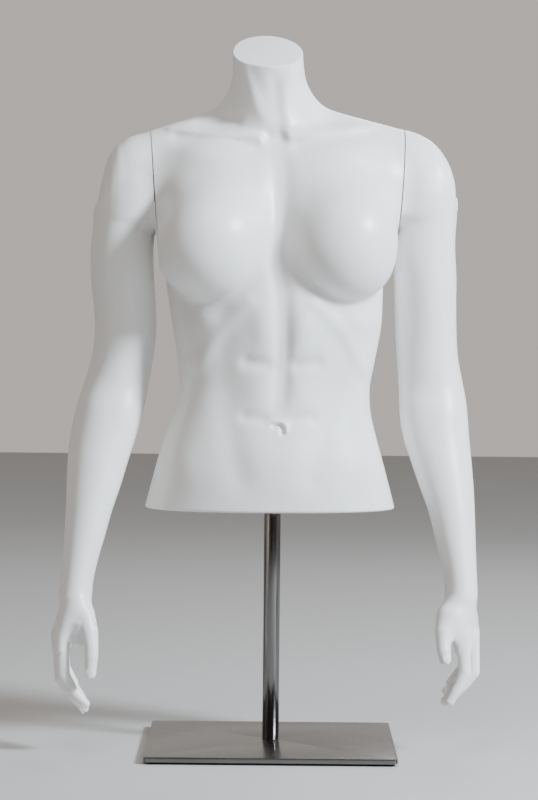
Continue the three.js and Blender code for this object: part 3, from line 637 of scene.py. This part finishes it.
def model_torso():
    rows = torso_rows()
    form = within_shoulders(from_torso)
    torso = sphere_blank("torso", 288, len(rows) - 1, pressed(form, rows, TORSO_REACH, 1.5, 0.4))

    low = [HIP_BOTTOM - 6, HIP_BOTTOM + 10, HIP_BOTTOM + 20, *np.linspace(318, 690, 24), 706, 720]
    low = capped(upright(low))
    inner = within_shoulders(lambda point: np.maximum(from_chest(point) + SKIN, from_torso(point) + WALL))
    hollow = sphere_blank("hollow", 96, len(low) - 1, pressed(inner, low, TORSO_REACH, 1.5))
    foot = upright([700, 745])
    neck = capped(foot + neck_rows(foot[-1], [*NECK_TOP[:2], NECK_TOP[2] - 10], 8))
    core_form = pressed(lambda point: from_neck(straight(point)) + SKIN, neck, NECK_REACH)
    core = sphere_blank("core", 48, len(neck) - 1, core_form)
    for side in SIDES.values():
        cut(torso, shoulder_slab(side, -SHOULDER["seam"] / 2))
        cut(hollow, shoulder_slab(side, -SHOULDER["seam"] / 2 - WALL))
    cut(torso, combine(hollow, core, "UNION"))
    for side in SIDES.values():
        cut(torso, shoulder_rod(side, PLATE_RADIUS, *PLATE_RECESS["torso"]))
    return finish_piece(torso, SMOOTH_ANGLE)


def arm_rows(side):
    rows = []
    for z in np.concatenate([np.linspace(WRIST - 6, 700, 70), np.linspace(706, 739, 9)]):
        height = np.array(float(z))
        sideways, depth = (float(v) for v in arm_at(height)[:2])
        lift = float(eased(*LIFT_HEIGHTS, height)) * SHOULDER["lift"] * side
        lean = 22 * float(eased(640, 720, height))
        across = side * (sideways - lean) + float(sway_at(height)[0])
        rows.append((across, depth, z + lift, 0, 1, 0))
    return capped(rows)


def palm_blank(hand, wrist, side):
    palm = np.array([hand["palm"][0], *hand["palm"], hand["palm"][-1]], float)
    c, s = math.cos(hand["turn"]), math.sin(hand["turn"])

    def place(ring, angle):
        z, x, y, thick, broad = palm[ring].T
        share = np.where((ring == 0) | (ring == len(palm) - 1), 0, PALM_BLANK)
        along, across = share * thick * np.cos(angle), share * broad * np.sin(angle)
        x, y = x + along * c + across * s, y - along * s + across * c
        return wrist[0] + side * x, wrist[1] + y, wrist[2] + z

    return sphere_blank("palm", 40, len(palm) - 1, place)


def finger_blank(name, joints, wrist, side):
    """A rounded rod through a finger's joints."""
    joints = np.array(joints, float)
    shares = np.linspace(0, len(joints) - 1, 31)
    fine = np.stack([np.interp(shares, range(len(joints)), column) for column in joints.T], 1)
    run = np.gradient(fine[:, :3], axis=0)
    run /= np.linalg.norm(run, axis=1)[:, None]
    fine = np.vstack([fine[:1], fine, fine[-1:]])
    run = np.vstack([run[:1], run, run[-1:]])
    fine[0, :3] -= run[0] * fine[0, 3] * BLANK_END
    fine[-1, :3] += run[-1] * fine[-1, 3] * BLANK_END
    fine[[0, -1], 3] = 0
    fine[[1, -2], 3] *= BLANK_END
    first = np.cross(run, (0, 1, 0.01))
    first /= np.linalg.norm(first, axis=1)[:, None]
    second = np.cross(run, first)

    def place(ring, angle):
        round_point = first[ring].T * np.cos(angle) + second[ring].T * np.sin(angle)
        x, y, z = fine[ring, :3].T + round_point * fine[ring, 3] * FINGER_BLANK
        return wrist[0] + side * x, wrist[1] + y, wrist[2] + z

    return sphere_blank(name, 20, len(fine) - 1, place)


def model_arm(label, side):
    hand, wrist, rows = HANDS[label], wrist_middle(side), arm_rows(side)
    arm = sphere_blank(f"{label}_arm", 64, len(rows) - 1, pressed(shoulder_and_arm, rows, ARM_REACH))
    fingers = [finger_blank(name, joints, wrist, side) for name, joints in hand["fingers"].items()]
    join(arm, palm_blank(hand, wrist, side), *fingers)
    turn_outwards(arm)
    apply_modifier(arm, "REMESH", mode="VOXEL", voxel_size=FINENESS * MM)
    settle(arm, arm_form(label, side))
    _, out, middle = shoulder_frame(side)
    face = SHOULDER["seam"] / 2
    bisect(arm, middle + out * face, -out)
    low, high = ARM_HOLLOW
    hollow_rows = capped([row for row in rows[1:-1:4] if low < row[2] < high])

    def inner(point):
        arm_only = straight(point)[2] < ARMPIT + ARMPIT_FADE["to"]
        return np.where(arm_only, from_arm(point), shoulder_and_arm(point)) + SKIN

    hollow = sphere_blank("hollow", 40, len(hollow_rows) - 1, pressed(inner, hollow_rows, ARM_REACH))
    bisect(hollow, middle + out * (face + WALL), -out)
    cut(arm, hollow)
    cut(arm, shoulder_rod(side, PLATE_RADIUS, *PLATE_RECESS["arm"]))
    return finish_piece(join(arm, *model_nails(label, side, wrist)), SMOOTH_ANGLE)


def model_nails(label, side, wrist):
    """Finger nails, each a shallow oval plate let into a finger's end."""
    nails = []
    for name, joints in HANDS[label]["fingers"].items():
        if name == "web":
            continue
        tip, before = Vector(joints[-1][:3]), Vector(joints[-2][:3])
        run = (tip - before).normalized()
        back = Vector((0.25, -1, 0)) if name == "thumb" else Vector((1, -0.15, 0))
        back = (back - run * back.dot(run)).normalized()
        radius = joints[-1][3]
        bpy.ops.object.select_all(action="DESELECT")
        bpy.ops.mesh.primitive_uv_sphere_add(segments=28, ring_count=18, radius=1)
        nail = newest("nail")
        turn = Matrix((back.cross(run), run, back)).transposed()
        middle = tip - run * radius * NAIL["back"] + back * (radius - NAIL["sunk"])
        size = (radius * NAIL["half_width"], radius * NAIL["half_length"], NAIL["half_thickness"])
        x, y, z = places(nail) * MM
        point = [middle[k] + sum(turn[k][j] * size[j] * (x, y, z)[j] for j in range(3)) for k in range(3)]
        put(nail, (wrist[0] + side * point[0], wrist[1] + point[1], wrist[2] + point[2]))
        turn_outwards(nail)
        nails.append(nail)
    return nails


def turn_outwards(obj):
    select_only(obj)
    bpy.ops.object.mode_set(mode="EDIT")
    bpy.ops.mesh.select_all(action="SELECT")
    bpy.ops.mesh.normals_make_consistent(inside=False)
    bpy.ops.object.mode_set(mode="OBJECT")


def finish_piece(obj, angle):
    """Turns a piece of the body with the body on its pole and smooths its shading."""
    obj.data.transform(TURN)
    select_only(obj)
    bpy.ops.object.shade_smooth_by_angle(angle=math.radians(angle))
    return obj


def model_cover(side):
    """The base's folded steel cover: a shallow tray, open below, with a hole for the pole's stud."""
    low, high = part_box("base_cover")
    wall, edge = COVER["wall"] * MM, COVER["edge"] * MM
    bpy.ops.object.select_all(action="DESELECT")
    bpy.ops.mesh.primitive_cube_add(size=1, location=(0, 0, (low.z + high.z) / 2))
    cover = newest("base_plate")
    cover.scale = (side, side, high.z - low.z)
    bpy.ops.object.transform_apply(location=True, rotation=True, scale=True)
    bpy.ops.object.mode_set(mode="EDIT")
    bpy.ops.mesh.select_mode(type="EDGE")
    bpy.ops.mesh.select_all(action="DESELECT")
    bpy.ops.object.mode_set(mode="OBJECT")
    for corner in cover.data.edges:
        a, b = (cover.data.vertices[v].co for v in corner.vertices)
        corner.select = abs(a.z - b.z) > wall
    bpy.ops.object.mode_set(mode="EDIT")
    bpy.ops.mesh.bevel(offset=COVER["corner"] * MM, segments=8, affect="EDGES")
    bpy.ops.object.mode_set(mode="OBJECT")
    turn_outwards(cover)

    bpy.ops.object.select_all(action="DESELECT")
    bpy.ops.mesh.primitive_cube_add(size=1, location=(0, 0, low.z))
    hollow = newest("base_hollow")
    hollow.scale = (side - 2 * wall, side - 2 * wall, 2 * (high.z - low.z - wall))
    bpy.ops.object.transform_apply(location=True, rotation=True, scale=True)
    cut(cover, hollow)
    bpy.ops.object.select_all(action="DESELECT")
    bpy.ops.mesh.primitive_cylinder_add(
        vertices=48, radius=COVER["stud"] * MM, depth=4 * wall, location=(0, 0, high.z)
    )
    cut(cover, newest("stud_hole"))
    return apply_modifier(
        cover, "BEVEL", width=edge, segments=3, limit_method="ANGLE", angle_limit=math.radians(50)
    )


def model_pole(radius):
    low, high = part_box("pole_tube")
    bottom, top = low.z / MM, high.z / MM
    bore, edge = radius - POLE["wall"], POLE["edge"]
    soft = edge * 0.3
    profile = [
        (bore, bottom), (radius - edge, bottom), (radius - soft, bottom + soft), (radius, bottom + edge),
        (radius, top - edge), (radius - soft, top - soft), (radius - edge, top), (bore, top), (bore, bottom),
    ]
    return turned("pole", profile, 96)


# ---------------------------------------------------------------- finishes


class Finish:
    """A procedural material whose patterns sit on the piece's own coordinates."""

    def __init__(self, name, colour, roughness, metallic=0.0, **sockets):
        self.material = bpy.data.materials.new(name)
        self.material.use_nodes = True
        self.material.diffuse_color = (*colour, 1)
        self.nodes, self.links = self.material.node_tree.nodes, self.material.node_tree.links
        self.shader = self.nodes["Principled BSDF"]
        self.shader.inputs["Base Color"].default_value = (*colour, 1)
        self.shader.inputs["Roughness"].default_value = roughness
        self.shader.inputs["Metallic"].default_value = metallic
        for socket, value in sockets.items():
            self.shader.inputs[socket.replace("_", " ")].default_value = value
        self.place = self.nodes.new("ShaderNodeTexCoord").outputs["Object"]

    def noise(self, scale, stretch=(1, 1, 1), detail=4.0, roughness=0.55):
        mapping = self.nodes.new("ShaderNodeMapping")
        mapping.inputs["Scale"].default_value = stretch
        noise = self.nodes.new("ShaderNodeTexNoise")
        noise.inputs["Scale"].default_value = scale
        noise.inputs["Detail"].default_value = detail
        noise.inputs["Roughness"].default_value = roughness
        self.links.new(self.place, mapping.inputs["Vector"])
        self.links.new(mapping.outputs["Vector"], noise.inputs["Vector"])
        return noise.outputs["Fac"]

    def vary_roughness(self, pattern, low, high):
        spread = self.nodes.new("ShaderNodeMapRange")
        spread.inputs["From Min"].default_value = 0.3
        spread.inputs["From Max"].default_value = 0.7
        spread.inputs["To Min"].default_value = low
        spread.inputs["To Max"].default_value = high
        self.links.new(pattern, spread.inputs["Value"])
        self.links.new(spread.outputs["Result"], self.shader.inputs["Roughness"])

    def vary_colour(self, pattern, low, high, start=0.35, end=0.65):
        ramp = self.nodes.new("ShaderNodeValToRGB")
        ramp.color_ramp.elements[0].position = start
        ramp.color_ramp.elements[1].position = end
        ramp.color_ramp.elements[0].color = (*low, 1)
        ramp.color_ramp.elements[1].color = (*high, 1)
        self.links.new(pattern, ramp.inputs["Fac"])
        self.links.new(ramp.outputs["Color"], self.shader.inputs["Base Color"])

    def roughen(self, pattern, strength, distance):
        bump_node = self.nodes.new("ShaderNodeBump")
        bump_node.inputs["Strength"].default_value = strength
        bump_node.inputs["Distance"].default_value = distance
        self.links.new(pattern, bump_node.inputs["Height"])
        self.links.new(bump_node.outputs["Normal"], self.shader.inputs["Normal"])


def lacquer(colour, gloss):
    finish = Finish("Satin white lacquer", tuple(colour), gloss, IOR=1.48)
    finish.vary_roughness(finish.noise(28, detail=3), gloss - 0.03, gloss + 0.05)
    warm = tuple(c * f for c, f in zip(colour, (1.0, 0.992, 0.98)))
    finish.vary_colour(finish.noise(7, detail=2), warm, tuple(colour))
    finish.roughen(finish.noise(900, detail=2), 0.05, 0.0002)
    return finish.material


def stainless(name, colour, stretch, scale, low, high, bump_strength):
    finish = Finish(name, tuple(colour), (low + high) / 2, 1.0)
    grain = finish.noise(scale, stretch, detail=6, roughness=0.7)
    finish.vary_roughness(grain, low, high)
    finish.vary_colour(grain, tuple(c * 0.88 for c in colour), tuple(min(1, c * 1.08) for c in colour))
    finish.roughen(grain, bump_strength, 0.0001)
    return finish.material


def plain_metal(name, colour, roughness):
    finish = Finish(name, colour, roughness, 1.0)
    finish.vary_roughness(finish.noise(120, detail=5), roughness - 0.08, roughness + 0.1)
    return finish.material


def plywood():
    finish = Finish("Plywood", (0.52, 0.36, 0.21), 0.7)
    grain = finish.noise(26, (1, 7, 7), detail=8, roughness=0.6)
    finish.vary_colour(grain, (0.40, 0.26, 0.14), (0.62, 0.45, 0.28))
    finish.roughen(grain, 0.2, 0.0004)
    return finish.material


def foam():
    finish = Finish("Foam sheet", (0.02, 0.02, 0.021), 0.9)
    finish.roughen(finish.noise(1400, detail=3), 0.5, 0.0005)
    return finish.material


def nylon():
    finish = Finish("Black nylon", (0.022, 0.022, 0.024), 0.45)
    finish.roughen(finish.noise(500, detail=2), 0.15, 0.0002)
    return finish.material


def paint(obj, material):
    obj.data.materials.clear()
    obj.data.materials.append(material)


def paint_steel(obj, material):
    select_only(obj)
    bpy.ops.object.shade_smooth_by_angle(angle=math.radians(35))
    paint(obj, material)
    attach(obj, "stand")


# ---------------------------------------------------------------- stage

# Lights by name: place, aim, size, power, colour.
LIGHTS = {
    "key": ((2.3, -1.5, 2.0), (0, 0, 0.6), 0.7, 260, (0.80, 0.90, 1.0)),
    "top": ((-0.3, -1.1, 2.6), (0, 0, 0.5), 0.8, 14, (1.0, 0.96, 0.92)),
    "fill": ((-2.4, -1.6, 0.6), (0, 0, 0.5), 1.2, 6, (1.0, 0.76, 0.56)),
    "back": ((0.6, 2.2, 1.8), (0, 0, 0.6), 1.2, 14, (1.0, 1.0, 1.0)),
}
CAMERA = {"place": (-0.0068, -3.731, 0.572), "down": 2.357, "roll": -0.52, "sensor": 36, "lens": 139.9}


def lay_floor():
    bpy.ops.object.select_all(action="DESELECT")
    bpy.ops.mesh.primitive_plane_add(size=12, location=(0, 0, 0))
    floor = newest("floor")
    finish = Finish("Pale floor", (0.50, 0.49, 0.48), 0.6)
    finish.vary_roughness(finish.noise(3, detail=2), 0.55, 0.65)
    floor.data.materials.append(finish.material)


def light_studio(scene):
    """A warm surround, brighter behind the piece than in front of it, and four soft lamps."""
    world = bpy.data.worlds.new("Studio")
    scene.world = world
    world.use_nodes = True
    nodes, links = world.node_tree.nodes, world.node_tree.links
    background = nodes["Background"]
    background.inputs["Color"].default_value = (0.86, 0.805, 0.755, 1)
    direction = nodes.new("ShaderNodeSeparateXYZ")
    spread = nodes.new("ShaderNodeMapRange")
    spread.inputs["From Min"].default_value = -1
    spread.inputs["To Min"].default_value = 0.06
    spread.inputs["To Max"].default_value = 0.64
    links.new(nodes.new("ShaderNodeTexCoord").outputs["Generated"], direction.inputs["Vector"])
    links.new(direction.outputs["Y"], spread.inputs["Value"])
    links.new(spread.outputs["Result"], background.inputs["Strength"])
    for name, (place, aim, size, power, colour) in LIGHTS.items():
        bpy.ops.object.light_add(type="AREA", location=place)
        light = newest(name)
        light.data.shape = "DISK"
        light.data.size, light.data.energy, light.data.color = size, power, colour
        light.rotation_euler = (Vector(aim) - Vector(place)).to_track_quat("-Z", "Y").to_euler()


def set_camera(scene):
    bpy.ops.object.camera_add(location=CAMERA["place"])
    camera = newest("camera")
    camera.rotation_euler = (math.radians(90 - CAMERA["down"]), math.radians(CAMERA["roll"]), 0)
    camera.data.sensor_fit = "VERTICAL"
    camera.data.sensor_height, camera.data.lens = CAMERA["sensor"], CAMERA["lens"]
    scene.camera = camera


# ---------------------------------------------------------------- settings, operators and panel


class TORSO_PG_body(bpy.types.PropertyGroup):
    colour: bpy.props.FloatVectorProperty(
        name="Lacquer colour",
        description="Colour of the satin lacquer",
        subtype="COLOR",
        size=3,
        min=0,
        max=1,
        default=(0.84, 0.835, 0.825),
    )
    gloss: bpy.props.FloatProperty(
        name="Lacquer roughness", description="How matt the lacquer is", min=0.1, max=0.9, default=0.36,
    )


class TORSO_PG_stand(bpy.types.PropertyGroup):
    base_side: bpy.props.FloatProperty(
        name="Base side", description="Side of the square base", unit="LENGTH", default=0.296,
    )
    pole_radius: bpy.props.FloatProperty(
        name="Pole radius", description="Outer radius of the pole", unit="LENGTH", default=0.010,
    )
    # The steel's default colour is much darker than bare stainless. It stands in for the dark surroundings
    # that the plate and pole reflect, so it is a painted dark reflection.
    steel: bpy.props.FloatVectorProperty(
        name="Steel colour with painted reflection",
        description="Colour of the stainless steel, darkened as a painted reflection",
        subtype="COLOR",
        size=3,
        min=0,
        max=1,
        default=(0.20, 0.193, 0.187),
    )


class TORSO_OT_torso(bpy.types.Operator):
    """Model the hollow torso with its open hip and its two shoulder faces"""

    bl_idname = "torso.body"
    bl_label = "Torso"

    def execute(self, context):
        torso = model_torso()
        settings = context.scene.torso_body
        paint(torso, lacquer(settings.colour, settings.gloss))
        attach(torso, "torso")
        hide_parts("torso_shell")
        return {"FINISHED"}


class TORSO_OT_arms(bpy.types.Operator):
    """Model both arms with their hands and nails"""

    bl_idname = "torso.arms"
    bl_label = "Arms"

    def execute(self, context):
        settings = context.scene.torso_body
        material = bpy.data.materials.get("Satin white lacquer") or lacquer(settings.colour, settings.gloss)
        for label, side in SIDES.items():
            arm = model_arm(label, side)
            paint(arm, material)
            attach(arm, f"{label}_arm")
            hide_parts(f"{label}_arm_shell")
        return {"FINISHED"}


class TORSO_OT_stand(bpy.types.Operator):
    """Model the folded steel base and the pole"""

    bl_idname = "torso.stand"
    bl_label = "Stand"

    def execute(self, context):
        settings = context.scene.torso_stand
        cover = model_cover(settings.base_side)
        # The plate takes the darkened steel colour, which is a painted dark reflection.
        plate = stainless("Brushed stainless plate", settings.steel, (1, 60, 1), 14, 0.16, 0.30, 0.15)
        paint_steel(cover, plate)
        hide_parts("base_cover")
        pole = model_pole(settings.pole_radius / MM)
        # The tube takes the steel colour, darkened a little further, as a painted dark reflection.
        shade = [channel * POLE_PAINTED_REFLECTION for channel in settings.steel]
        tube = stainless("Polished stainless tube", shade, (40, 40, 1), 12, 0.12, 0.22, 0.08)
        paint_steel(pole, tube)
        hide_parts("pole_tube")
        return {"FINISHED"}


class TORSO_OT_fittings(bpy.types.Operator):
    """Give every fitting that shows when the mannequin comes apart its own finish"""

    bl_idname = "torso.fittings"
    bl_label = "Fittings"

    def execute(self, context):
        finishes = {
            "zinc_steel": plain_metal("Zinc-plated steel", (0.55, 0.56, 0.58), 0.34),
            "ballast": plain_metal("Black steel plate", (0.06, 0.06, 0.065), 0.6),
            "magnet": plain_metal("Nickel plate", (0.62, 0.61, 0.60), 0.2),
            "plywood": plywood(),
            "mat": foam(),
            "nylon": nylon(),
        }
        slots = {row["node"]: row["material_slot"] for row in frame["record"]["subparts"]}
        for name, node in frame["nodes"].items():
            if slots[name] in finishes:
                node.data.materials.clear()
                node.data.materials.append(finishes[slots[name]])
        return {"FINISHED"}


class TORSO_OT_stage(bpy.types.Operator):
    """Set up the floor, the lights and the camera"""

    bl_idname = "torso.stage"
    bl_label = "Stage"

    def execute(self, context):
        lay_floor()
        light_studio(context.scene)
        set_camera(context.scene)
        return {"FINISHED"}


class TORSO_PT_panel(bpy.types.Panel):
    """Buttons and settings for the display torso"""

    bl_label = "Display torso"
    bl_idname = "TORSO_PT_panel"
    bl_space_type = "VIEW_3D"
    bl_region_type = "UI"
    bl_category = "Display torso"

    def draw(self, context):
        for settings in (context.scene.torso_body, context.scene.torso_stand):
            for name in settings.__annotations__:
                self.layout.prop(settings, name)
        for operator in OPERATORS:
            self.layout.operator(operator.bl_idname)


SETTINGS = {"torso_body": TORSO_PG_body, "torso_stand": TORSO_PG_stand}
OPERATORS = (TORSO_OT_stand, TORSO_OT_torso, TORSO_OT_arms, TORSO_OT_fittings, TORSO_OT_stage)
CLASSES = (*SETTINGS.values(), *OPERATORS, TORSO_PT_panel)


def register():
    for cls in CLASSES:
        bpy.utils.register_class(cls)
    for name, group in SETTINGS.items():
        setattr(bpy.types.Scene, name, bpy.props.PointerProperty(type=group))


def unregister():
    for name in SETTINGS:
        delattr(bpy.types.Scene, name)
    for cls in reversed(CLASSES):
        bpy.utils.unregister_class(cls)


def main():
    register()
    for operator in (
        bpy.ops.torso.stand,
        bpy.ops.torso.body,
        bpy.ops.torso.arms,
        bpy.ops.torso.fittings,
        bpy.ops.torso.stage,
    ):
        operator()


if __name__ == "__main__":
    main()
